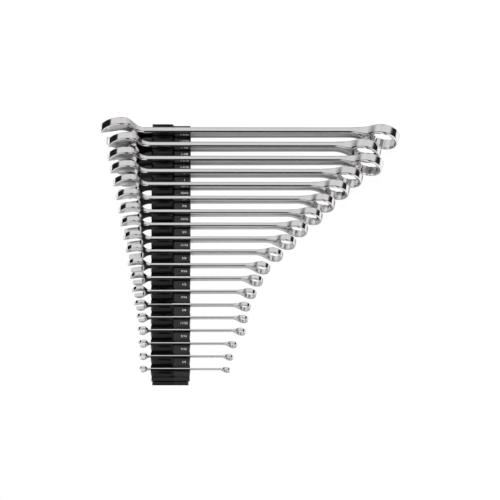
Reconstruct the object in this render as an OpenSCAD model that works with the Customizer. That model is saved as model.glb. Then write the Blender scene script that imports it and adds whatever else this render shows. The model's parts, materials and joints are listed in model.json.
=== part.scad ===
// Nineteen polished combination wrenches, 1/4 to 1-1/4 inch, standing on edge in a one-piece
// moulded rack. X runs along the wrenches, open ends to -X and box ends to +X. Y runs along the
// rack, largest wrench at +Y. The rack's foot lies on Z = 0 and its middle is the origin.

/* [Wrench set] */
// Sizes across the flats in inches, largest first
sizes_in = [5/4, 19/16, 9/8, 17/16, 1, 15/16, 7/8, 13/16, 3/4, 11/16, 5/8, 9/16, 1/2, 7/16, 3/8,
    11/32, 5/16, 9/32, 1/4];
// Overall lengths of the wrenches, largest first
lengths = [416, 380, 383, 351, 328, 304, 283, 260, 239, 218, 197, 184, 172, 161, 154, 149, 136,
    130, 125];
// How far the end of each open end's neck stands off the rack, largest first
stand_offs = [9, 1.8, 4.9, 4.6, 3.3, 2.4, 2, 2.4, 1, 1, 1, 1, 1.2, 1.3, 1, 1, 1.3, 2, 2.8];
// Depth of each shank's seat below the ridges beside it, largest first
seats = [8.2, 11.2, 13, 11.9, 11.3, 12.4, 12.9, 12.2, 13, 11.6, 12.1, 11.2, 11.1, 11.1, 9.2, 8,
    7.6, 6.1, 4.6];
// Play of the jaws and box holes on a nut of the nominal size
nut_play = 0.15; // [0.05:0.05:0.4]

/* [Open ends] */
// Angle between the jaw opening and the shank
jaw_angle = 15; // [0:1:22]
// Half height of the head as a share of the size
head_share = 1.03; // [0.95:0.01:1.15]
// Radius of each jaw's outer back as a share of the size
jaw_back_share = 1.22; // [1.16:0.01:1.5]
// Reach of the jaw tips along the flats from the jaw centre as a share of the size
jaw_reach_share = 0.81; // [0.76:0.01:0.9]
// Radius of the arc that rounds both jaw tips as a share of the size
tip_arc_share = 1.26; // [1.22:0.01:1.4]
// Depth of the throat behind the jaw centre as a share of the size
throat_share = 0.02; // [0:0.01:0.1]
// Run of the neck from the head's highest point to the plain shank as a share of the size
neck_share = 1; // [1:0.01:1.2]
// Radius of the neck's rounded shoulder as a share of the size
shoulder_share = 0.45; // [0.3:0.01:0.46]
// Radius of the hollow where the neck runs out into the shank as a share of the size
hollow_share = 0.5; // [0.3:0.01:0.52]
// Thickness of the head as a share of the size
head_thick_share = 0.36; // [0.32:0.01:0.42]
// Thickness that every head has on top of its share
head_thick_extra = 1; // [0.5:0.1:2]
// Where the head starts to thin toward the shank, as a share of the size behind the jaw centre
head_thin_share = 0.45; // [0.4:0.01:0.5]

/* [Shanks] */
// Thickness of the shank as a share of the size
shank_thick_share = 0.28; // [0.22:0.01:0.3]
// Thickness that every shank has on top of its share
shank_thick_extra = 0.2; // [0:0.05:0.4]
// Width of the shank as a share of the size
shank_width_share = 0.57; // [0.5:0.01:0.7]
// Width that every shank has on top of its share
shank_width_extra = 0.3; // [0:0.05:0.6]
// Corner radius of the shank's section as a share of its thickness
shank_round_share = 0.42; // [0.2:0.01:0.45]
// Width that the shank keeps at its box end
shank_taper = 0.93; // [0.85:0.01:1]

/* [Box ends] */
// Angle by which the box end is bent off the shank
box_angle = 10; // [5:1:20]
// Outer diameter of the ring as a share of the size
ring_share = 1.36; // [1.3:0.01:1.5]
// Diameter that every ring has on top of its share
ring_extra = 1.8; // [1:0.1:3]
// Thickness of the ring as a share of the size
ring_thick_share = 0.44; // [0.38:0.01:0.5]
// Thickness that every ring has on top of its share
ring_thick_extra = 1.3; // [0.8:0.1:2]
// Distance from the bend to the ring's centre as a share of the size
bend_share = 1.22; // [1.1:0.01:1.5]
// Largest radius of the fillets into the ring as a share of the ring's radius
ring_fillet_share = 1.6; // [0.8:0.05:2]
// Thickness of the ring's neck where it meets the ring as a share of the ring's
ring_neck_share = 0.66; // [0.5:0.01:0.7]
// Rounding of the ring's rims as a share of its thickness
rim_share = 0.15; // [0.05:0.01:0.2]
// Width of the lead-in round the box hole as a share of the size
lead_in_share = 0.04; // [0.01:0.01:0.08]

/* [Rack] */
// Distance from one slot to the next
pitch = 20.3; // [18:0.05:26]
// Height of the crowned wall at the small end above the foot
rack_h = 20; // [18:0.5:28]
// How much higher the walls stand at the large end, so that the large heads clear the bench
rack_rise = 22; // [20:0.5:30]
// Width of the rack across the walls
rack_w = 54.4; // [46:0.2:64]
// Height of the base rail
rail_h = 9; // [6:0.5:12]
// Width of the base rail at its foot
rail_foot_w = 50; // [42:0.5:52]
// Width of the base rail at its top
rail_top_w = 47; // [40:0.5:47]
// Length of the crown past the outermost ridges
end_margin = 4; // [3:0.1:8]
// Length of the base rail past the end walls
rail_ledge = 1.2; // [0.2:0.1:3]
// Radius of each wall's crown
crown_r = 17.6; // [15:0.1:40]
// Radius of the lobe round each slot on the open-end side
lobe_r = 16.7; // [15:0.1:30]
// Radius of the lobe round each slot on the label side
label_lobe_r = 35; // [25:0.5:60]
// Radius of the crown's upper edge on the open-end side
crown_edge_r = 1.6; // [0.5:0.1:3]
// Clearance on each side of a shank between the walls
slot_clear = 0.3; // [0.1:0.05:0.5]
// Height of the moulded pockets under the rack
pocket_h = 11; // [6:0.5:12]
// Thickness of the rims and ribs between the pockets
rib_t = 2.4; // [1.6:0.1:4]
// Slots that each pair of pockets spans
pocket_slots = 2; // [1:1:2]

/* [Label shelves] */
// Length of the shelves along the wrenches
shelf_l = 22; // [16:0.5:26]
// Width of a shelf's flat top where the walls are wide enough
shelf_w = 10.3; // [6:0.1:12]
// Side clearance of the shanks between the shelves
shelf_clear = 1.2; // [0.5:0.1:2]
// Drop of the last shelf below the ridges
shelf_drop_min = 0.8; // [0.3:0.1:2]
// Growth of the drop from one shelf to the next
shelf_drop_step = 0.6; // [0:0.05:1]
// Largest drop of a shelf below the ridges
shelf_drop_max = 5; // [3:0.1:6]
// Fall of the shelf's flanks toward the slots
shelf_flank = 2.2; // [0.5:0.1:3]
// Run of the ramp from the crown down to the shelves
ramp_l = 3.6; // [2:0.1:6]
// Radius of the shelf's outer upper edge
shelf_edge_r = 1.2; // [0.4:0.1:2]

/* [Hidden] */
$fn = 96;
inch = 25.4;
count = len(sizes_in);
join = 0.5;
proud = 0.04;
seat_gap = 0.02;
// Overlaps inside the steel, as shares: neck root and its free bore on the ring's radius, start
// of the neck's full thickness, band between the rims, neck and shank past the bend
neck_root = 0.97;
neck_bore = 0.92;
neck_full = 0.7;
rim_band = 0.96;
neck_past = 0.35;
shank_past = 0.4;
// Least run of a shelf's flank
flank_run = 0.6;

// Sizes of one wrench, worked out from its size s across the flats
function size(i) = sizes_in[i] * inch;
function head_half(s) = head_share * s;
function head_t(s) = head_thick_share * s + head_thick_extra;
function shank_t(s) = shank_thick_share * s + shank_thick_extra;
function shank_w(s) = shank_width_share * s + shank_width_extra;
function ring_r(s) = (ring_share * s + ring_extra) / 2;
function ring_t(s) = ring_thick_share * s + ring_thick_extra;

// The head's outline in the jaw's own frame, where a points out of the jaw and b across it
function back_r(s) = jaw_back_share * s;
function back_drop(s) = back_r(s) - head_half(s);
function crest_x(s) = back_r(s) * sin(jaw_angle) * cos(jaw_angle)
    - (back_r(s) * cos(jaw_angle) - back_drop(s)) * sin(jaw_angle);
function crest_z(s) = back_r(s) * sin(jaw_angle) * sin(jaw_angle)
    + (back_r(s) * cos(jaw_angle) - back_drop(s)) * cos(jaw_angle);
function gap_half(s) = s / 2 + nut_play;
function tip_x(s) = jaw_reach_share * s * cos(jaw_angle) + gap_half(s) * sin(jaw_angle);
function tip_back(s) = sqrt(pow(tip_arc_share * s, 2) - pow(gap_half(s), 2))
    - jaw_reach_share * s;
function neck_end(s) = crest_x(s) + neck_share * s;

// Places along X and Y, and the height of each shank's middle
function centre_x(i) = -rack_w / 2 - stand_offs[i] - neck_end(size(i));
function slot_y(i) = ((count - 1) / 2 - i) * pitch;
function ridge_y(j) = (count / 2 - j) * pitch;
function ridge_z(j) = rack_h + rack_rise * (count - j) / count;
function floor_z(i) = (ridge_z(i) + ridge_z(i + 1)) / 2 - seats[i];
function shank_z(i) = floor_z(i) + seat_gap + shank_w(size(i)) / 2;
function bend_x(i) = lengths[i] - tip_x(size(i)) - (bend_share * size(i) + ring_r(size(i)))
    * cos(box_angle) - ring_t(size(i)) / 2 * sin(box_angle);
function slot_half(i) = shank_t(size(i)) / 2 + slot_clear;
function shelf_drop(j) = min(shelf_drop_max, shelf_drop_min + shelf_drop_step * (count - j));
function wide_half(j) = pitch / 2 - shelf_clear
    - shank_t(size(min(max(j, 1), count) - 1)) / 2;
rack_l = count * pitch + 2 * end_margin;

// A flat outline drawn in X and Z, given the thickness t about the plane Y = 0
module upright(t) {
    rotate([90, 0, 0]) linear_extrude(t, center = true) children();
}

// Outline of the two jaws: arched backs, tips cut round, all behind the crests
module jaw_outline(s) {
    big = 3 * s;
    intersection() {
        rotate(180 + jaw_angle) intersection() {
            translate([0, -back_drop(s)]) circle(back_r(s));
            translate([0, back_drop(s)]) circle(back_r(s));
            translate([-tip_back(s), 0]) circle(tip_arc_share * s);
        }
        polygon([[-big, big], [crest_x(s), big], [crest_x(s), 0], [-crest_x(s), 0],
            [-crest_x(s), -big], [-big, -big]]);
    }
}

// One side of the neck: from the crest at x over a rounded shoulder, down a straight slope and
// through a hollow to the shank
module neck_side(s, x, half, t) {
    shoulder = shoulder_share * s;
    hollow = hollow_share * s;
    hub = [x, crest_z(s) - proud - shoulder];
    pin = [neck_end(s), half + hollow];
    way = pin - hub;
    slope = asin((shoulder + hollow - 2 * proud) / norm(way)) - atan2(way[1], way[0]);
    out = [sin(slope), cos(slope)];
    difference() {
        union() {
            upright(t) translate(hub) circle(shoulder);
            upright(t) polygon([[x - join, -join], [x - join, hub[1]], hub,
                hub + (shoulder - proud) * out, pin - (hollow - proud) * out, pin,
                [neck_end(s), -join]]);
        }
        upright(2 * t) translate(pin) circle(hollow);
    }
}

// The open jaw: parallel flats to a round throat
module jaw_gap(s) {
    half = gap_half(s);
    rotate(180 + jaw_angle) union() {
        translate([-throat_share * s, -half]) square([3 * s, 2 * half]);
        translate([-throat_share * s, 0]) circle(half);
    }
}

// Open end: outline cut from the side, thinned toward the shank as seen from above
module open_end(s) {
    t = head_t(s);
    thin = shank_t(s) + 2 * proud;
    half = shank_w(s) / 2 + proud;
    back = head_thin_share * s;
    intersection() {
        difference() {
            union() {
                upright(t) jaw_outline(s);
                neck_side(s, crest_x(s), half, t);
                mirror([0, 0, 1]) neck_side(s, -crest_x(s), half, t);
            }
            upright(2 * t) jaw_gap(s);
        }
        linear_extrude(3 * s, center = true)
            polygon([[-2 * s, t], [0, t], [back, t / 2], [neck_end(s), thin / 2],
                [neck_end(s) + s, thin / 2], [neck_end(s) + s, -thin / 2],
                [neck_end(s), -thin / 2], [back, -t / 2], [0, -t], [-2 * s, -t]]);
    }
}

// Section of the shank across its length, with rounded edges
module shank_section(w, t) {
    r = shank_round_share * t;
    square([w, t - 2 * r], center = true);
    square([w - 2 * r, t], center = true);
    for (x = [-1, 1], y = [-1, 1])
        translate([x * (w / 2 - r), y * (t / 2 - r)]) circle(r);
}

// Plain shank: rounded bar that narrows a little toward the box end
module shank(s, from, to) {
    w = shank_w(s);
    end = w * shank_taper;
    intersection() {
        translate([from, 0, 0]) rotate([0, 90, 0]) linear_extrude(to - from)
            shank_section(w + 2 * proud, shank_t(s));
        upright(2 * s) polygon([[from - s, w / 2], [from + s, w / 2], [to, end / 2],
            [to + s, end / 2], [to + s, -end / 2], [to, -end / 2], [from + s, -w / 2],
            [from - s, -w / 2]]);
    }
}

// Twelve-point hole: two hexagons turned by 30 degrees
module twelve_points(s) {
    r = (s + 2 * nut_play) / sqrt(3);
    circle(r, $fn = 6);
    rotate(30) circle(r, $fn = 6);
}

// Ring with rounded rims and a lead-in on both faces of its hole
module ring(s) {
    r = ring_r(s);
    t = ring_t(s);
    rim = rim_share * t;
    hole = (s + 2 * nut_play) / sqrt(3);
    lead = lead_in_share * s;
    rotate([90, 0, 0]) difference() {
        rotate_extrude() union() {
            translate([0, -t / 2]) square([r - rim, t]);
            translate([0, rim - t / 2]) square([r, t - 2 * rim]);
            for (y = [-1, 1]) translate([r - rim, y * (t / 2 - rim)]) circle(rim, $fn = 48);
        }
        linear_extrude(2 * t, center = true) twelve_points(s);
        for (y = [0, 1]) mirror([0, 0, y]) translate([0, 0, t / 2 - lead])
            cylinder(h = 2 * lead, r1 = hole - lead, r2 = hole + lead);
    }
}

// Neck of the ring: filleted outline cut from the side, thickened as seen from above
module ring_neck(s) {
    r = ring_r(s) * neck_root;
    reach = bend_share * s;
    half = shank_w(s) * shank_taper / 2 + proud;
    t = shank_t(s) / 2 + proud;
    fillet = min(ring_fillet_share * r, (reach * reach - r * r + half * half) / (2 * (r - half)));
    pin = [reach - sqrt(pow(r + fillet, 2) - pow(half + fillet, 2)), half + fillet];
    start = -sin(box_angle) * 2 * neck_past * t;
    thick = min(ring_neck_share, rim_band - 2 * rim_share) * ring_t(s) / 2;
    difference() {
        intersection() {
            upright(2 * s) difference() {
                polygon([[start, half], [pin[0], half], pin, [reach, 0], [pin[0], -pin[1]],
                    [pin[0], -half], [start, -half]]);
                for (z = [-1, 1]) translate([pin[0], z * pin[1]]) circle(fillet);
            }
            linear_extrude(3 * s, center = true) polygon([[-s, t], [0, t],
                [reach - r * neck_full, thick], [reach + join, thick], [reach + join, -thick],
                [reach - r * neck_full, -thick], [0, -t], [-s, -t]]);
        }
        rotate([90, 0, 0]) translate([reach, 0, -s]) cylinder(h = 2 * s, r = r * neck_bore);
    }
}

// Box end in its own frame: neck and ring, bent to the -Y side
module box_end(s) {
    rotate([0, 0, -box_angle]) {
        ring_neck(s);
        translate([bend_share * s, 0, 0]) ring(s);
    }
}

// A whole wrench, with its jaw centre moved to its place in the set
module wrench(i) {
    s = size(i);
    color("gainsboro") translate([centre_x(i), slot_y(i), shank_z(i)]) {
        open_end(s);
        shank(s, neck_end(s) - join, bend_x(i) + shank_past * shank_t(s) * tan(box_angle / 2));
        translate([bend_x(i), 0, 0]) box_end(s);
    }
}

// One crowned wall on the open-end side: an arch over the ridge that ramps down to the shelf
module crown(j) {
    top = ridge_z(j);
    drop = crown_r - sqrt(crown_r * crown_r - pitch * pitch / 4);
    right = rack_w / 2 - shelf_l;
    low = top - shelf_drop(j) - shelf_flank;
    translate([0, ridge_y(j), 0]) intersection() {
        rotate([90, 0, 90]) linear_extrude(rack_w, center = true) intersection() {
            translate([0, top - crown_r]) circle(crown_r);
            translate([-pitch / 2, 0]) square([pitch, top + join]);
        }
        upright(2 * pitch) union() {
            translate([crown_edge_r - rack_w / 2, top - crown_edge_r]) circle(crown_edge_r);
            polygon([[-rack_w / 2, rail_h - join], [-rack_w / 2, top - crown_edge_r],
                [crown_edge_r - rack_w / 2, top], [right - ramp_l, top],
                [right, low], [right, rail_h - join]]);
        }
    }
}

// One label shelf on the box-end side, standing lower beside the larger wrenches
module shelf(j) {
    top = ridge_z(j) - shelf_drop(j);
    low = top - shelf_flank;
    wide = wide_half(j);
    flat = min(shelf_w / 2, wide - flank_run);
    left = rack_w / 2 - shelf_l - ramp_l;
    translate([0, ridge_y(j), 0]) intersection() {
        rotate([90, 0, 90]) linear_extrude(rack_w)
            polygon([[-pitch / 2, rail_h - join], [-pitch / 2, low], [-wide, low], [-flat, top],
                [flat, top], [wide, low], [pitch / 2, low], [pitch / 2, rail_h - join]]);
        upright(2 * pitch) union() {
            translate([rack_w / 2 - shelf_edge_r, top - shelf_edge_r]) circle(shelf_edge_r);
            polygon([[left, rail_h - join], [left, top], [rack_w / 2 - shelf_edge_r, top],
                [rack_w / 2, top - shelf_edge_r], [rack_w / 2, rail_h - join]]);
        }
    }
}

// Plan of the walls: a lobe round every slot on both sides, with cusps at the ridges
module lobes() {
    linear_extrude(2 * ridge_z(0)) intersection() {
        square([2 * rack_w, rack_l], center = true);
        union() {
            square([rail_top_w, rack_l], center = true);
            for (i = [-1 : count]) translate([0, slot_y(i)]) intersection() {
                translate([-rack_w, -pitch / 2]) square([2 * rack_w, pitch]);
                translate([lobe_r - rack_w / 2, 0]) circle(lobe_r);
            }
            for (i = [-1 : count]) translate([0, slot_y(i)]) intersection() {
                translate([0, -pitch / 2]) square([rack_w, pitch]);
                translate([rack_w / 2 - label_lobe_r, 0]) circle(label_lobe_r);
            }
        }
    }
}

// Space for one shank: a close slot between the crowns and a wider one between the shelves
module slot(i) {
    right = rack_w / 2 - shelf_l - ramp_l;
    wide = shank_t(size(i)) + 2 * shelf_clear;
    translate([-rack_w, slot_y(i) - slot_half(i), floor_z(i)])
        cube([2 * rack_w, 2 * slot_half(i), 2 * ridge_z(0)]);
    translate([right, slot_y(i) - wide / 2, max(floor_z(i), rail_h)])
        cube([rack_w, wide, 2 * ridge_z(0)]);
}

// Pockets under the rack on both sides of a middle rib, a pair under every few slots
module pockets() {
    side = (rail_top_w - 3 * rib_t) / 2;
    span = pocket_slots * pitch - rib_t;
    last = count - count % pocket_slots;
    for (i = [0 : pocket_slots : last - 1], x = [-1, 1])
        translate([x * (side + rib_t) / 2, slot_y(i) - (pocket_slots - 1) * pitch / 2,
            pocket_h / 2 - join])
            cube([side, span, pocket_h + 2 * join], center = true);
}

// The rack: one moulding of base rail, crowned walls and label shelves
module organizer_rack() {
    color("#202022") difference() {
        union() {
            upright(rack_l + 2 * rail_ledge) polygon([[-rail_foot_w / 2, 0],
                [rail_foot_w / 2, 0], [rail_top_w / 2, rail_h], [-rail_top_w / 2, rail_h]]);
            intersection() {
                for (j = [0 : count]) {
                    crown(j);
                    shelf(j);
                }
                lobes();
            }
        }
        for (i = [0 : count - 1]) slot(i);
        pockets();
    }
}

organizer_rack();
for (i = [0 : count - 1])
    wrench(i);
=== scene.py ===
import bpy, json, math
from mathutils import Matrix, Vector

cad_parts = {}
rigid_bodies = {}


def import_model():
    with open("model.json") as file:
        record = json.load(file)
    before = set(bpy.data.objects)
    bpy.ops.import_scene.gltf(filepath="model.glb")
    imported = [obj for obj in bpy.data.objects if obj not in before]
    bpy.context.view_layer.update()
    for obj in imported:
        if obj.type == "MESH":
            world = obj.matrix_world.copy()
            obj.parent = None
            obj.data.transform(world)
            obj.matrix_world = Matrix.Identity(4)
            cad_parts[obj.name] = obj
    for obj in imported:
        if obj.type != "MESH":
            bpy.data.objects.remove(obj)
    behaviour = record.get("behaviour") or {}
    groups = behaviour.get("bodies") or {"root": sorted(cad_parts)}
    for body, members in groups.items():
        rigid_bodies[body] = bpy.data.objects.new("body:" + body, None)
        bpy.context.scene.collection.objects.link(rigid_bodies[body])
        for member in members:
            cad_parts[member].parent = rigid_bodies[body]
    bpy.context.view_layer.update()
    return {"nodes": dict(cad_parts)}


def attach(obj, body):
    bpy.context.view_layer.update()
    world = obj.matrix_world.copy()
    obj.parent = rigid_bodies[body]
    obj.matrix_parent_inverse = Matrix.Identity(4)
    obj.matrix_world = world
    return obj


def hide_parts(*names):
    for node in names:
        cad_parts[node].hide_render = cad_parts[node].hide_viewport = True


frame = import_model()
bpy.ops.object.select_all(action="DESELECT")

# Camera
# A long lens far off, so that the wrenches stay parallel as in a catalogue picture. It looks
# along the rack from the small end, 59 degrees above the bench, and the frame is 690 mm wide.
aim = Vector((0.1093, 0.0, 0.0307))
lift = math.radians(59.2)
away = 15.0
frame_width = 0.690
bpy.ops.object.camera_add(location=aim + away * Vector((0, -math.cos(lift), math.sin(lift))),
                          rotation=(math.pi / 2 - lift, 0, 0))
camera = bpy.context.object
camera.name = "catalogue_camera"
camera.data.sensor_width = 36
camera.data.lens = 36 * away / frame_width
camera.data.clip_end = 60
bpy.context.scene.camera = camera
bpy.context.scene.view_settings.view_transform = "Standard"

# Bench
# Laminate worktop that the rack stands on, faintly speckled. The camera sees it lifted to a
# catalogue's plain white, while the steel mirrors its base colour, in which shade and light are
# painted: mid grey under the wrenches, black beside the rack and bright out in the open.
bench_albedo = (0.50, 0.55)
camera_lift = 0.93
painted_light_gain = 1.7
bpy.ops.mesh.primitive_plane_add(size=1, location=(0.21, 0.05, -0.0001))
bench = bpy.context.object
bench.name = "bench"
bench.scale = (0.78, 1.3, 1)
bpy.ops.object.transform_apply(location=True, rotation=False, scale=True)
laminate = bpy.data.materials.new("bench_laminate")
laminate.use_nodes = True
nodes, links = laminate.node_tree.nodes, laminate.node_tree.links
paint = nodes["Principled BSDF"]
paint.inputs["Roughness"].default_value = 0.6
paint.inputs["Specular IOR Level"].default_value = 0.0
coords = nodes.new("ShaderNodeTexCoord")
speck = nodes.new("ShaderNodeTexNoise")
speck.inputs["Scale"].default_value = 40
tint = nodes.new("ShaderNodeMapRange")
tint.inputs["To Min"].default_value, tint.inputs["To Max"].default_value = bench_albedo
whiteness = nodes.new("ShaderNodeCombineColor")
links.new(coords.outputs["Object"], speck.inputs["Vector"])
links.new(speck.outputs["Fac"], tint.inputs["Value"])
spot = nodes.new("ShaderNodeSeparateXYZ")
links.new(coords.outputs["Object"], spot.inputs["Vector"])
bench_x, bench_y = spot.outputs["X"], spot.outputs["Y"]


def span(distance, low, high):
    """Mask over the bench: 0 where a distance across it is at low and 1 at high, in metres."""
    ramp = nodes.new("ShaderNodeMapRange")
    ramp.interpolation_type = "SMOOTHSTEP"
    ramp.inputs["From Min"].default_value = low
    ramp.inputs["From Max"].default_value = high
    links.new(distance, ramp.inputs["Value"])
    return ramp.outputs["Result"]


def times(first, second):
    """Product of two values of the bench's material."""
    both = nodes.new("ShaderNodeMath")
    both.operation = "MULTIPLY"
    for k, value in enumerate((first, second)):
        if isinstance(value, float):
            both.inputs[k].default_value = value
        else:
            links.new(value, both.inputs[k])
    return both.outputs["Value"]


def fade_to(level, mask):
    """1 where the mask is 0, the level where it is 1."""
    dim = nodes.new("ShaderNodeMapRange")
    dim.inputs["To Min"].default_value = 1.0
    dim.inputs["To Max"].default_value = level
    links.new(mask, dim.inputs["Value"])
    return dim.outputs["Result"]


def aslant(side, slope):
    """Distance across the bench square to a slanting line: side times X less slope times Y."""
    across = nodes.new("ShaderNodeMath")
    across.operation = "SUBTRACT"
    links.new(times(bench_x, side), across.inputs[0])
    links.new(times(bench_y, slope), across.inputs[1])
    return across.outputs["Value"]


# Painted shade and light in the bench's base colour: darker under the large wrenches, darkest
# between the necks and the rack, and brighter on the open bench past the rings and the jaw tips
painted_shade_under_shanks = times(times(span(bench_y, 0.02, 0.12), span(bench_x, -0.062, -0.054)),
                     span(bench_x, 0.30, 0.26))
painted_shade_beside_rack = times(span(bench_x, -0.020, -0.026),
                    times(span(bench_y, -0.204, -0.199), span(bench_y, 0.204, 0.199)))
painted_shade_by_large_necks = times(times(span(bench_y, 0.112, 0.130), span(bench_x, -0.066, -0.056)),
                    painted_shade_beside_rack)
painted_shade_by_small_necks = times(span(aslant(1.0, -0.075), -0.041, -0.035), painted_shade_beside_rack)
painted_light_past_rings = span(aslant(1.0, 0.66), 0.20, 0.22)
painted_light_past_tips = span(aslant(-1.0, 0.13), 0.080, 0.095)
# The speckle times the painted shade and painted light
speckle_and_painted_light = tint.outputs["Result"]
for level, mask in ((0.74, painted_shade_under_shanks), (0.05, painted_shade_by_large_necks), (0.08, painted_shade_by_small_necks),
                    (painted_light_gain, painted_light_past_rings), (painted_light_gain, painted_light_past_tips)):
    speckle_and_painted_light = times(speckle_and_painted_light, fade_to(level, mask))
for channel in ("Red", "Green", "Blue"):
    links.new(speckle_and_painted_light, whiteness.inputs[channel])
links.new(whiteness.outputs["Color"], paint.inputs["Base Color"])
ray_kind = nodes.new("ShaderNodeLightPath")
backlit = nodes.new("ShaderNodeEmission")
backlit.inputs["Strength"].default_value = 1.05
blend = nodes.new("ShaderNodeMixShader")
# Beside the large necks the white lift fades, so the camera sees the painted shadow there too
links.new(times(times(ray_kind.outputs["Is Camera Ray"], camera_lift), fade_to(0.03, painted_shade_by_large_necks)),
          blend.inputs["Fac"])
links.new(paint.outputs["BSDF"], blend.inputs[1])
links.new(backlit.outputs["Emission"], blend.inputs[2])
links.new(blend.outputs["Shader"], nodes["Material Output"].inputs["Surface"])
bench.data.materials.append(laminate)

# Studio
# A small room lined for polished steel: a softbox overhead and a white back wall, black walls
# at the sides and in front, and white cards low down in front. One lamp hangs overhead.
world = bpy.data.worlds.new("white_room")
bpy.context.scene.world = world
world.use_nodes = True
nodes, links = world.node_tree.nodes, world.node_tree.links


def wire(kind, settings, inputs, **options):
    """One node of the room with its fixed inputs, wired to the outputs named in inputs."""
    node = nodes.new(kind)
    for key, value in options.items():
        setattr(node, key, value)
    for key, value in settings.items():
        node.inputs[key].default_value = value
    for key, source in inputs.items():
        links.new(source, node.inputs[key])
    return node


def step(source, low, high, least=0.0, most=1.0):
    """Smooth change from least, where the source is at low, to most, where it is at high."""
    return wire("ShaderNodeMapRange", {"From Min": low, "From Max": high, "To Min": least,
                                       "To Max": most}, {"Value": source},
                interpolation_type="SMOOTHSTEP").outputs["Result"]


def flattened(keep):
    """The direction looked in, laid into one plane by keeping two axes, at length 1."""
    laid = wire("ShaderNodeVectorMath", {1: keep}, {0: look}, operation="MULTIPLY")
    return wire("ShaderNodeVectorMath", {}, {0: laid.outputs["Vector"]},
                operation="NORMALIZE").outputs["Vector"]


look = wire("ShaderNodeTexCoord", {}, {}).outputs["Generated"]
look_axes = wire("ShaderNodeSeparateXYZ", {}, {"Vector": look}).outputs
height = look_axes["Z"]
sideways = wire("ShaderNodeMath", {}, {0: look_axes["X"]}, operation="ABSOLUTE").outputs["Value"]

# Ceiling: a softbox that starts behind the upright, with a black flag hung across its far part
back_lean = wire("ShaderNodeSeparateXYZ", {}, {"Vector": flattened((0, 1, 1))}).outputs["Y"]
softbox = step(back_lean, 0.17, 0.36, 0.02, 0.82)
flagged = wire("ShaderNodeMath", {}, {0: step(back_lean, 0.56, 0.64), 1: step(sideways, 0.24, 0.12)},
               operation="MULTIPLY")
ceiling = wire("ShaderNodeMix", {"B": 0.03}, {"Factor": flagged.outputs["Value"],
                                              "A": softbox}).outputs["Result"]

# Walls: white behind the rack, black elsewhere
behind = wire("ShaderNodeVectorMath", {1: (0.122, 0.9925, 0)}, {0: flattened((1, 1, 0))},
              operation="DOT_PRODUCT")
walls = step(behind.outputs["Value"], 0.52, 0.60, 0.012, 0.70)
# The walls stand taller on the box-end side, so the ceiling starts higher up there
right_rise = wire("ShaderNodeMapRange", {"From Min": 0.55, "From Max": 0.70, "To Max": 0.15},
                  {"Value": look_axes["X"]}).outputs["Result"]
over_wall = wire("ShaderNodeMath", {}, {0: height, 1: right_rise}, operation="SUBTRACT")
mirrored = wire("ShaderNodeMix", {}, {"Factor": step(over_wall.outputs["Value"], 0.40, 0.48),
                                      "A": walls, "B": ceiling}).outputs["Result"]

# White cards low in front, left and right of the camera, light the undersides of the forgings
cards = step(sideways, 0.10, 0.24)
for mask in (step(look_axes["Y"], -0.30, -0.48), step(height, -0.40, -0.30)):
    cards = wire("ShaderNodeMath", {}, {0: cards, 1: mask}, operation="MULTIPLY").outputs["Value"]
mirrored = wire("ShaderNodeMix", {"B": 0.95}, {"Factor": cards, "A": mirrored}).outputs["Result"]

# The camera sees plain white, the steel sees the room above and the rest gets an even fill
ray = wire("ShaderNodeLightPath", {}, {}).outputs
direct = wire("ShaderNodeMath", {}, {0: ray["Is Camera Ray"], 1: ray["Is Transmission Ray"]},
              operation="MAXIMUM")
ambient = wire("ShaderNodeMix", {"A": 0.30}, {"Factor": ray["Is Glossy Ray"], "B": mirrored})
level = wire("ShaderNodeMix", {"B": 1.0}, {"Factor": direct.outputs["Value"],
                                           "A": ambient.outputs["Result"]})
surround = nodes["Background"]
surround.inputs["Color"].default_value = (1, 1, 1, 1)
links.new(level.outputs["Result"], surround.inputs["Strength"])

bpy.ops.object.light_add(type="AREA", location=(0.1, 0.25, 1.6), rotation=(-0.155, 0, 0))
lamp = bpy.context.object
lamp.name = "overhead_softbox"
lamp.data.shape = "RECTANGLE"
lamp.data.size = 0.9
lamp.data.size_y = 0.6
lamp.data.energy = 14
lamp.visible_glossy = False

# Rack
# One injection moulding in black plastic: crowned walls between the slots, label shelves on
# the box-end side and ribs underneath. Its edges are softened by the mould and the surface
# has a fine leathery grain. The label shelves, where the size print sits, get a paler base
# colour: a painted sheen for the light that their flat tops catch.
mould_radius = 0.0004
shelf_from_x = 0.0050
rack_cad = frame["nodes"]["organizer_rack"]
rack_cad.select_set(True)
bpy.context.view_layer.objects.active = rack_cad
bpy.ops.object.duplicate()
rack = bpy.context.object
rack.name = "moulded_rack"
bpy.ops.object.parent_clear(type="CLEAR_KEEP_TRANSFORM")
bpy.ops.object.mode_set(mode="EDIT")
bpy.ops.mesh.select_all(action="SELECT")
bpy.ops.mesh.remove_doubles(threshold=0.000005)
bpy.ops.mesh.dissolve_limited(angle_limit=math.radians(1))
bpy.ops.mesh.normals_make_consistent(inside=False)
bpy.ops.object.mode_set(mode="OBJECT")
bpy.ops.object.modifier_add(type="BEVEL")
soften = rack.modifiers[-1]
soften.width = mould_radius
soften.segments = 2
soften.limit_method = "ANGLE"
soften.angle_limit = math.radians(25)
bpy.ops.object.modifier_apply(modifier=soften.name)
bpy.ops.object.shade_smooth_by_angle(angle=math.radians(35))

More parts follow.
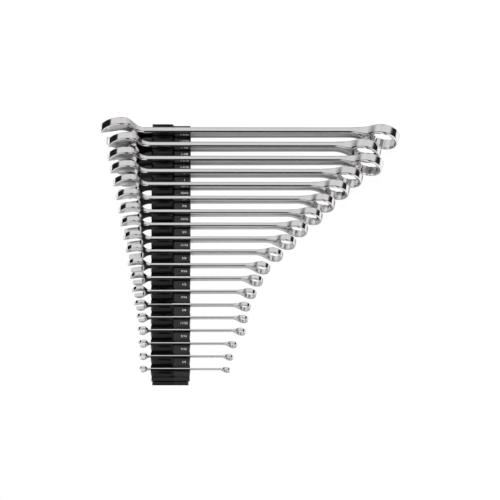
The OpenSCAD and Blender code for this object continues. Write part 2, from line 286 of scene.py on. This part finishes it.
# Fine unevenness of a finished surface: a slow blotch and a quick grain, on Object coordinates
finish_marks = bpy.data.node_groups.new("finish_marks", "ShaderNodeTree")
for name, kind, direction in (("Grain Scale", "NodeSocketFloat", "INPUT"),
                              ("Blotch Scale", "NodeSocketFloat", "INPUT"),
                              ("Low", "NodeSocketFloat", "INPUT"),
                              ("High", "NodeSocketFloat", "INPUT"),
                              ("Vector", "NodeSocketVector", "INPUT"),
                              ("Roughness", "NodeSocketFloat", "OUTPUT"),
                              ("Grain", "NodeSocketFloat", "OUTPUT"),
                              ("Blotch", "NodeSocketFloat", "OUTPUT")):
    finish_marks.interface.new_socket(name=name, in_out=direction, socket_type=kind)
gn, gl = finish_marks.nodes, finish_marks.links
enter, leave = gn.new("NodeGroupInput"), gn.new("NodeGroupOutput")
slow, quick = gn.new("ShaderNodeTexNoise"), gn.new("ShaderNodeTexNoise")
slow.inputs["Detail"].default_value = 3
quick.inputs["Detail"].default_value = 4
spread = gn.new("ShaderNodeMapRange")
gl.new(enter.outputs["Vector"], slow.inputs["Vector"])
gl.new(enter.outputs["Vector"], quick.inputs["Vector"])
gl.new(enter.outputs["Blotch Scale"], slow.inputs["Scale"])
gl.new(enter.outputs["Grain Scale"], quick.inputs["Scale"])
gl.new(slow.outputs["Fac"], spread.inputs["Value"])
gl.new(enter.outputs["Low"], spread.inputs["To Min"])
gl.new(enter.outputs["High"], spread.inputs["To Max"])
gl.new(spread.outputs["Result"], leave.inputs["Roughness"])
gl.new(quick.outputs["Fac"], leave.inputs["Grain"])
gl.new(slow.outputs["Fac"], leave.inputs["Blotch"])

plastic = bpy.data.materials.new("black_moulding")
plastic.use_nodes = True
nodes, links = plastic.node_tree.nodes, plastic.node_tree.links
skin = nodes["Principled BSDF"]
skin.inputs["Specular IOR Level"].default_value = 0.30
coords = nodes.new("ShaderNodeTexCoord")
marks = nodes.new("ShaderNodeGroup")
marks.node_tree = finish_marks
marks.inputs["Grain Scale"].default_value = 1800
marks.inputs["Blotch Scale"].default_value = 60
marks.inputs["Low"].default_value = 0.13
marks.inputs["High"].default_value = 0.22
links.new(coords.outputs["Object"], marks.inputs["Vector"])
links.new(marks.outputs["Roughness"], skin.inputs["Roughness"])
place = nodes.new("ShaderNodeSeparateXYZ")
links.new(coords.outputs["Object"], place.inputs["Vector"])
on_shelf = nodes.new("ShaderNodeMapRange")
on_shelf.inputs["From Min"].default_value = shelf_from_x
on_shelf.inputs["From Max"].default_value = shelf_from_x + mould_radius
links.new(place.outputs["X"], on_shelf.inputs["Value"])
# Paler base colour on the label shelves: painted sheen of their flat tops
shelf_tone_with_painted_sheen = nodes.new("ShaderNodeMix")
shelf_tone_with_painted_sheen.data_type = "RGBA"
shelf_tone_with_painted_sheen.inputs["A"].default_value = (0.0015, 0.0015, 0.0017, 1)
shelf_tone_with_painted_sheen.inputs["B"].default_value = (0.014, 0.014, 0.015, 1)
links.new(on_shelf.outputs["Result"], shelf_tone_with_painted_sheen.inputs["Factor"])
links.new(shelf_tone_with_painted_sheen.outputs["Result"], skin.inputs["Base Color"])
pebble = nodes.new("ShaderNodeBump")
pebble.inputs["Strength"].default_value = 0.12
pebble.inputs["Distance"].default_value = 0.0002
links.new(marks.outputs["Grain"], pebble.inputs["Height"])
links.new(pebble.outputs["Normal"], skin.inputs["Normal"])
rack.data.materials.clear()
rack.data.materials.append(plastic)
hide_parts("organizer_rack")
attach(rack, "root")

# Size marks
# Pad printed in pale grey ink on the flat shelves of the rack: the fraction of an inch of the
# wrench that stands behind each shelf. The front shelf carries none.
slots, pitch = 19, 20.3  # sizes of the rack in mm
rack_w, rack_h, rack_rise = 54.4, 20, 22
marks_x, ink_film = 0.0184, 0.00003
marks_read = ["1-3/16", "1-1/8", "1-1/16", "1", "15/16", "7/8", "13/16", "3/4", "11/16", "5/8",
              "9/16", "1/2", "7/16", "3/8", "11/32", "5/16", "9/32", "1/4"]
ink = bpy.data.materials.new("pale_ink")
ink.use_nodes = True
nodes, links = ink.node_tree.nodes, ink.node_tree.links
print_film = nodes["Principled BSDF"]
print_film.inputs["Roughness"].default_value = 0.6
coords = nodes.new("ShaderNodeTexCoord")
worn = nodes.new("ShaderNodeTexNoise")
worn.inputs["Scale"].default_value = 900
shade = nodes.new("ShaderNodeMix")
shade.data_type = "RGBA"
shade.inputs["A"].default_value = (0.34, 0.34, 0.35, 1)
shade.inputs["B"].default_value = (0.62, 0.62, 0.63, 1)
links.new(coords.outputs["Object"], worn.inputs["Vector"])
links.new(worn.outputs["Fac"], shade.inputs["Factor"])
links.new(shade.outputs["Result"], print_film.inputs["Base Color"])
for j, words in enumerate(marks_read, start=1):
    ridge = rack_h + rack_rise * (slots - j) / slots
    shelf_top = ridge - min(5, 0.8 + 0.6 * (slots - j))
    bpy.ops.object.select_all(action="DESELECT")
    bpy.ops.object.text_add(location=(marks_x, (slots / 2 - j) * pitch / 1000,
                                      shelf_top / 1000 + ink_film))
    mark = bpy.context.object
    mark.data.body = words
    mark.data.align_x = "CENTER"
    mark.data.align_y = "CENTER"
    mark.data.size = 0.0046
    mark.data.extrude = ink_film
    mark.data.resolution_u = 3
    mark.data.offset = 0.00006
    bpy.ops.object.convert(target="MESH")
    mark = bpy.context.object
    bpy.ops.object.transform_apply(location=True, rotation=True, scale=True)
    mark.name = "size_mark_" + words.replace("-", "_").replace("/", "_")
    mark.data.materials.clear()
    mark.data.materials.append(ink)
    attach(mark, "root")

# Combination wrenches
# Drop forged alloy steel, ground, polished and chrome plated: an open jaw turned 15 degrees,
# a flat shank with crowned faces and a bent twelve-point ring. Each stands on edge in its
# slot. Sizes run from 1-1/4 inch at the far end of the rack down to 1/4 inch.
wrench_sizes = [  # node, size in inches, length, stand-off of the neck and seat depth in mm
    ("wrench_1_1_4", 5 / 4, 416, 9, 8.2), ("wrench_1_3_16", 19 / 16, 380, 1.8, 11.2),
    ("wrench_1_1_8", 9 / 8, 383, 4.9, 13), ("wrench_1_1_16", 17 / 16, 351, 4.6, 11.9),
    ("wrench_1", 1, 328, 3.3, 11.3), ("wrench_15_16", 15 / 16, 304, 2.4, 12.4),
    ("wrench_7_8", 7 / 8, 283, 2, 12.9), ("wrench_13_16", 13 / 16, 260, 2.4, 12.2),
    ("wrench_3_4", 3 / 4, 239, 1, 13), ("wrench_11_16", 11 / 16, 218, 1, 11.6),
    ("wrench_5_8", 5 / 8, 197, 1, 12.1), ("wrench_9_16", 9 / 16, 184, 1, 11.2),
    ("wrench_1_2", 1 / 2, 172, 1.2, 11.1), ("wrench_7_16", 7 / 16, 161, 1.3, 11.1),
    ("wrench_3_8", 3 / 8, 154, 1, 9.2), ("wrench_11_32", 11 / 32, 149, 1, 8),
    ("wrench_5_16", 5 / 16, 136, 1.3, 7.6), ("wrench_9_32", 9 / 32, 130, 2, 6.1),
    ("wrench_1_4", 1 / 4, 125, 2.8, 4.6)]
jaw_turn, ring_turn = math.radians(15), math.radians(10)
sin15, cos15 = math.sin(jaw_turn), math.cos(jaw_turn)
sin10, cos10 = math.sin(ring_turn), math.cos(ring_turn)
seat_gap = 0.02


def close_skin(name, rows, wrap):
    """Closed shell through rows of points: a grid bent into a tube, its seam merged. With wrap
    the last row lies on the first, otherwise both ends are filled."""
    across, along = len(rows) - 1, len(rows[0])
    bpy.ops.mesh.primitive_grid_add(x_subdivisions=across, y_subdivisions=along, size=1)
    shell = bpy.context.object
    shell.name = name
    for v in shell.data.vertices:
        i = round((v.co.x + 0.5) * across)
        j = round((v.co.y + 0.5) * along) % along
        v.co = rows[i][j]
    bpy.ops.object.mode_set(mode="EDIT")
    bpy.ops.mesh.select_all(action="SELECT")
    bpy.ops.mesh.remove_doubles(threshold=0.0000005)
    if not wrap:
        bpy.ops.mesh.fill_holes(sides=0)
    bpy.ops.mesh.select_all(action="SELECT")
    bpy.ops.mesh.normals_make_consistent(inside=False)
    bpy.ops.object.mode_set(mode="OBJECT")
    return shell


def arc(cx, cz, r, start, end, steps):
    """Points of an arc round (cx, cz), from one angle to another in degrees."""
    return [(cx + r * math.cos(math.radians(start + (end - start) * k / steps)),
             cz + r * math.sin(math.radians(start + (end - start) * k / steps)))
            for k in range(steps + 1)]


def turned(points):
    """Points of the jaw's own frame laid into the head, whose mouth dips by 15 degrees."""
    return [(-a * cos15 + b * sin15, -a * sin15 - b * cos15) for a, b in points]


def slab(name, outline, thick):
    """Upright plate: a circle's corners moved onto the outline, filled and pulled to thickness."""
    bpy.ops.mesh.primitive_circle_add(vertices=len(outline), radius=1, fill_type="NGON")
    plate = bpy.context.object
    plate.name = name
    for v, (x, z) in zip(plate.data.vertices, outline):
        v.co = (home + Vector((x, -thick / 2, z))) / 1000
    bpy.ops.object.mode_set(mode="EDIT")
    bpy.ops.mesh.select_all(action="SELECT")
    bpy.ops.mesh.remove_doubles(threshold=0.00002)
    bpy.ops.mesh.extrude_region_move(TRANSFORM_OT_translate={"value": (0, thick / 1000, 0)})
    bpy.ops.mesh.select_all(action="SELECT")
    bpy.ops.mesh.normals_make_consistent(inside=False)
    bpy.ops.object.mode_set(mode="OBJECT")
    return plate


def ease(x):
    """Smooth change from 0 at 0 to 1 at 1, level beyond."""
    x = min(1, max(0, x))
    return x * x * (3 - 2 * x)


made = []
for i, (node, inches, length, stand_off, seat) in enumerate(wrench_sizes):
    size = inches * 25.4
    head_t = 0.36 * size + 1
    shank_t = 0.28 * size + 0.2
    shank_w = 0.57 * size + 0.3
    end_w = shank_w * 0.93
    ring_r = (1.36 * size + 1.8) / 2
    ring_t = 0.44 * size + 1.3
    back_r, head_half, reach, tip_r = 1.22 * size, 1.03 * size, 0.81 * size, 1.26 * size
    drop = back_r - head_half
    crest_x, crest_z = drop * sin15, back_r - drop * cos15
    mouth_half = size / 2 + 0.15
    tip_back = math.sqrt(tip_r ** 2 - mouth_half ** 2) - reach
    neck_end = crest_x + size
    past_bend = 1.22 * size
    bend_x = (length - (reach * cos15 + mouth_half * sin15) - (past_bend + ring_r) * cos10
              - ring_t / 2 * sin10)
    slot_floor = rack_h + rack_rise * (slots - 0.5 - i) / slots - seat
    home = Vector((-rack_w / 2 - stand_off - neck_end, ((slots - 1) / 2 - i) * pitch,
                   slot_floor + seat_gap + shank_w / 2))
    bend_r = 3.2 * size
    bend_run = bend_r * math.tan(ring_turn / 2)
    ring_l = bend_x + past_bend

    def put(along, y, z):
        """A point so far along the wrench, y off its middle plane, bent to the -Y side."""
        if along < bend_x - bend_run:
            point = Vector((along, y, z))
        elif along < bend_x + bend_run:
            angle = (along - bend_x + bend_run) / (2 * bend_run) * ring_turn
            point = Vector((bend_x - bend_run + (bend_r + y) * math.sin(angle),
                            -bend_r * (1 - math.cos(angle)) + y * math.cos(angle), z))
        else:
            past = along - bend_x
            point = Vector((bend_x + past * cos10 + y * sin10, -past * sin10 + y * cos10, z))
        return (home + point) / 1000

    # Head: a plate with arched backs and rounded tips, cut off inside the neck. The tips and the
    # lower back are arcs that meet at a corner, worked out in the jaw's own frame. The upper back
    # falls faster, so the upper jaw is narrow at its tip.
    gap = math.hypot(tip_back, drop)
    meet = (math.acos((gap ** 2 + tip_r ** 2 - back_r ** 2) / (2 * gap * tip_r))
            - math.atan2(drop, tip_back))
    on_back = math.degrees(math.atan2(tip_r * math.sin(meet) + drop,
                                      tip_r * math.cos(meet) - tip_back))
    crest_turn = math.radians(105)
    up = Vector((math.cos(crest_turn), math.sin(crest_turn)))
    crest = back_r * up - Vector((0, drop))
    high_tip_half = 0.60 * size
    high_tip = Vector((-tip_back + math.sqrt(tip_r ** 2 - high_tip_half ** 2), high_tip_half))
    fall = crest - high_tip
    high_r = fall.length_squared / (2 * up.dot(fall))
    high_hub = crest - high_r * up
    high_from = math.degrees(math.atan2(high_tip.y - high_hub.y, high_tip.x - high_hub.x))
    nose = arc(-tip_back, 0, tip_r, math.degrees(meet),
               -math.degrees(math.asin(high_tip_half / tip_r)), 16)
    high_back = [(a, -b) for a, b in arc(high_hub.x, high_hub.y, high_r, high_from, 105, 18)[1:]]
    low_back = arc(0, -drop, back_r, 75, on_back, 14)[:-1]
    shoulder = 0.45 * size
    hub_z = crest_z - shoulder
    outline = turned(low_back + nose + high_back)
    outline += arc(crest_x, hub_z, shoulder, 90, 48, 6)[1:]
    outline += arc(-crest_x, -hub_z, shoulder, -27, -90, 8)[:-1]
    head_edge = 0.11 * size
    plate = slab("head_plate", outline, head_t)
    bpy.ops.object.modifier_add(type="BEVEL")
    rounding = plate.modifiers[-1]
    rounding.width = head_edge / 1000
    rounding.segments = 4
    rounding.limit_method = "ANGLE"
    rounding.angle_limit = math.radians(40)
    bpy.ops.object.modifier_apply(modifier=rounding.name)
    mouth = [(2 * size, -mouth_half), (2 * size, mouth_half)]
    mouth += arc(-0.02 * size, 0, mouth_half, 90, 270, 24)
    gap_tool = slab("jaw_gap", turned(mouth), 2 * head_t)

    # Forged bar: neck of the jaw, shank, bend and neck of the ring in one run of sections
    half_w, half_e = shank_w / 2, end_w / 2
    edge_r, rim = 0.2 * shank_t, 0.15 * ring_t
    hollow = 0.5 * size

    def edge(x, hub_x):
        """Height of the jaw neck's edge at x: round shoulder, straight slope, then the hollow."""
        run, rise = neck_end - hub_x, half_w + hollow - hub_z
        slope = math.asin((shoulder + hollow) / math.hypot(run, rise)) - math.atan2(rise, run)
        leave, land = hub_x + shoulder * math.sin(slope), neck_end - hollow * math.sin(slope)
        if x < leave:
            return hub_z + math.sqrt(max(0, shoulder ** 2 - (x - hub_x) ** 2))
        if x < land:
            return hub_z + shoulder * math.cos(slope) - (x - leave) * math.tan(slope)
        return half_w + hollow - math.sqrt(max(0, hollow ** 2 - (neck_end - x) ** 2))

    # the neck of the ring swells in a fillet that meets the ring's round edge
    ring_in = ring_r * 0.999
    ring_gap = past_bend ** 2 - ring_in ** 2 + half_e ** 2
    fillet = min(1.6 * ring_in, ring_gap / (2 * (ring_in - half_e)))
    pin_l = ring_l - math.sqrt((ring_in + fillet) ** 2 - (half_e + fillet) ** 2)
    swing = math.degrees(math.atan2(ring_l - pin_l, half_e + fillet))
    swell_from = bend_x - bend_run

    def shank_half(x):
        """Half width of the shank, which narrows a little toward the ring."""
        return half_w + (half_e - half_w) * ease((x - neck_end) / (pin_l - neck_end))

    # each station: its x at the edges and on the middle line, top, bottom, thickness and corners
    stations = []
    under_head, neck_t = 0.2 * size, head_t * 1.003
    for k in range(25):
        x = under_head + (neck_end - under_head) * k / 24
        thin = ease((x / size - 0.38) / 0.70)
        stations.append((x, x, edge(x, crest_x), -edge(x, -crest_x),
                         neck_t + (shank_t - neck_t) * thin,
                         head_edge + (edge_r - head_edge) * thin))
    for k in range(1, 9):
        x = neck_end + (swell_from - neck_end) * k / 8
        stations.append((x, x, shank_half(x), -shank_half(x), shank_t, edge_r))
    swelling = []
    for k in range(1, 11):
        x = swell_from + (pin_l - swell_from) * k / 10
        swelling.append((x, x, shank_half(x)))
    for k in range(1, 17):
        angle = math.radians(swing * k / 16)
        x = pin_l + fillet * math.sin(angle)
        middle = pin_l + (ring_l - 0.94 * ring_r - pin_l) * k / 16
        swelling.append((x, min(x, middle), half_e + fillet * (1 - math.cos(angle))))
    for x, middle, high in swelling:
        grow = ease((middle - swell_from) / (ring_l - 0.8 * ring_r - swell_from))
        stations.append((x, middle, high, -high, shank_t + (0.96 * ring_t - shank_t) * grow,
                         edge_r + (rim - edge_r) * grow))
    crown_depth = 0.17
    rows = []
    for x, middle, top, bottom, thick, corner_r in stations:
        mid, span = (top + bottom) / 2, (top - bottom) / 2
        section = [(thick / 2, (span - corner_r) * k / 3) for k in range(-2, 3)]
        for side, begin in ((1, 0), (-1, 90)):
            section += arc(side * (thick / 2 - corner_r), span - corner_r, corner_r,
                           begin, begin + 90, 5)
        section += [(-y, -z) for y, z in section]
        # the broad faces are crowned, so the bar is thinner at its edges than in its middle
        crown = (crown_depth * ease((x / size - 0.5) / 0.5)
                 * ease((ring_l - 1.1 * ring_r - x) / (0.8 * size)))
        loop = []
        for y, z in section:
            bow = (z / span) ** 2
            loop.append(put(middle + (x - middle) * bow, y * (1 - crown * bow), mid + z))
        rows.append(loop)
    bar = close_skin("forged_bar", rows, False)

    # Box end: a band with rounded rims, its bore twelve-pointed with a bevelled lead-in
    bore_w = size + 0.3
    point_r, valley_r = bore_w / math.sqrt(3), bore_w / 2 / cos15
    lead = 0.04 * size
    profile = arc(ring_r - rim, ring_t / 2 - rim, rim, 0, 90, 6)
    profile += [(point_r + lead * 0.9, ring_t / 2), (None, ring_t / 2 - lead)]
    profile += [(r, -y) for r, y in reversed(profile)]
    rows = []
    for k in range(97):
        angle = math.radians(k * 3.75)
        # straight flat between a point of the bore and the valley beside it, 15 degrees on
        off_point = jaw_turn * (1 - abs(1 - (k % 8) / 4))
        bore = point_r * valley_r * sin15 / (point_r * math.sin(off_point)
                                             + valley_r * math.sin(jaw_turn - off_point))
        rows.append([put(ring_l + (r or bore) * math.cos(angle), y, (r or bore) * math.sin(angle))
                     for r, y in profile])
    band = close_skin("box_ring", rows, True)

    # Forged in one: head, bar and ring become one closed skin, the mouth is cut through it
    for tool, how in ((plate, "UNION"), (gap_tool, "DIFFERENCE"), (band, "UNION")):
        bpy.ops.object.select_all(action="DESELECT")
        bpy.context.view_layer.objects.active = bar
        bar.select_set(True)
        bpy.ops.object.modifier_add(type="BOOLEAN")
        weld = bar.modifiers[-1]
        weld.operation = how
        weld.solver = "EXACT"
        weld.object = tool
        bpy.ops.object.modifier_apply(modifier=weld.name)
        bpy.data.objects.remove(tool)
    bar.name = node.replace("wrench", "polished_wrench")
    bpy.ops.object.shade_smooth_by_angle(angle=math.radians(28))
    bpy.ops.object.modifier_add(type="WEIGHTED_NORMAL")
    bar.modifiers[-1].keep_sharp = True
    bpy.ops.object.modifier_apply(modifier=bar.modifiers[-1].name)
    made.append(bar)
    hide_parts(node)
    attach(bar, "root")

# Chrome plate over polished steel: bright and neutral, a little uneven along the forging
chrome = bpy.data.materials.new("polished_chrome")
chrome.use_nodes = True
nodes, links = chrome.node_tree.nodes, chrome.node_tree.links
plate_finish = nodes["Principled BSDF"]
plate_finish.inputs["Metallic"].default_value = 1.0
coords = nodes.new("ShaderNodeTexCoord")
stretch = nodes.new("ShaderNodeMapping")
stretch.inputs["Scale"].default_value = (0.06, 1, 1)
links.new(coords.outputs["Object"], stretch.inputs["Vector"])
marks = nodes.new("ShaderNodeGroup")
marks.node_tree = finish_marks
marks.inputs["Grain Scale"].default_value = 2600
marks.inputs["Blotch Scale"].default_value = 90
marks.inputs["Low"].default_value = 0.07
marks.inputs["High"].default_value = 0.16
links.new(stretch.outputs["Vector"], marks.inputs["Vector"])
links.new(marks.outputs["Roughness"], plate_finish.inputs["Roughness"])
warm = nodes.new("ShaderNodeMix")
warm.data_type = "RGBA"
warm.inputs["A"].default_value = (0.74, 0.735, 0.745, 1)
warm.inputs["B"].default_value = (0.82, 0.80, 0.81, 1)
links.new(marks.outputs["Blotch"], warm.inputs["Factor"])
links.new(warm.outputs["Result"], plate_finish.inputs["Base Color"])
polish = nodes.new("ShaderNodeBump")
polish.inputs["Strength"].default_value = 0.02
polish.inputs["Distance"].default_value = 0.00002
links.new(marks.outputs["Grain"], polish.inputs["Height"])
links.new(polish.outputs["Normal"], plate_finish.inputs["Normal"])
for bar in made:
    bar.data.materials.clear()
    bar.data.materials.append(chrome)
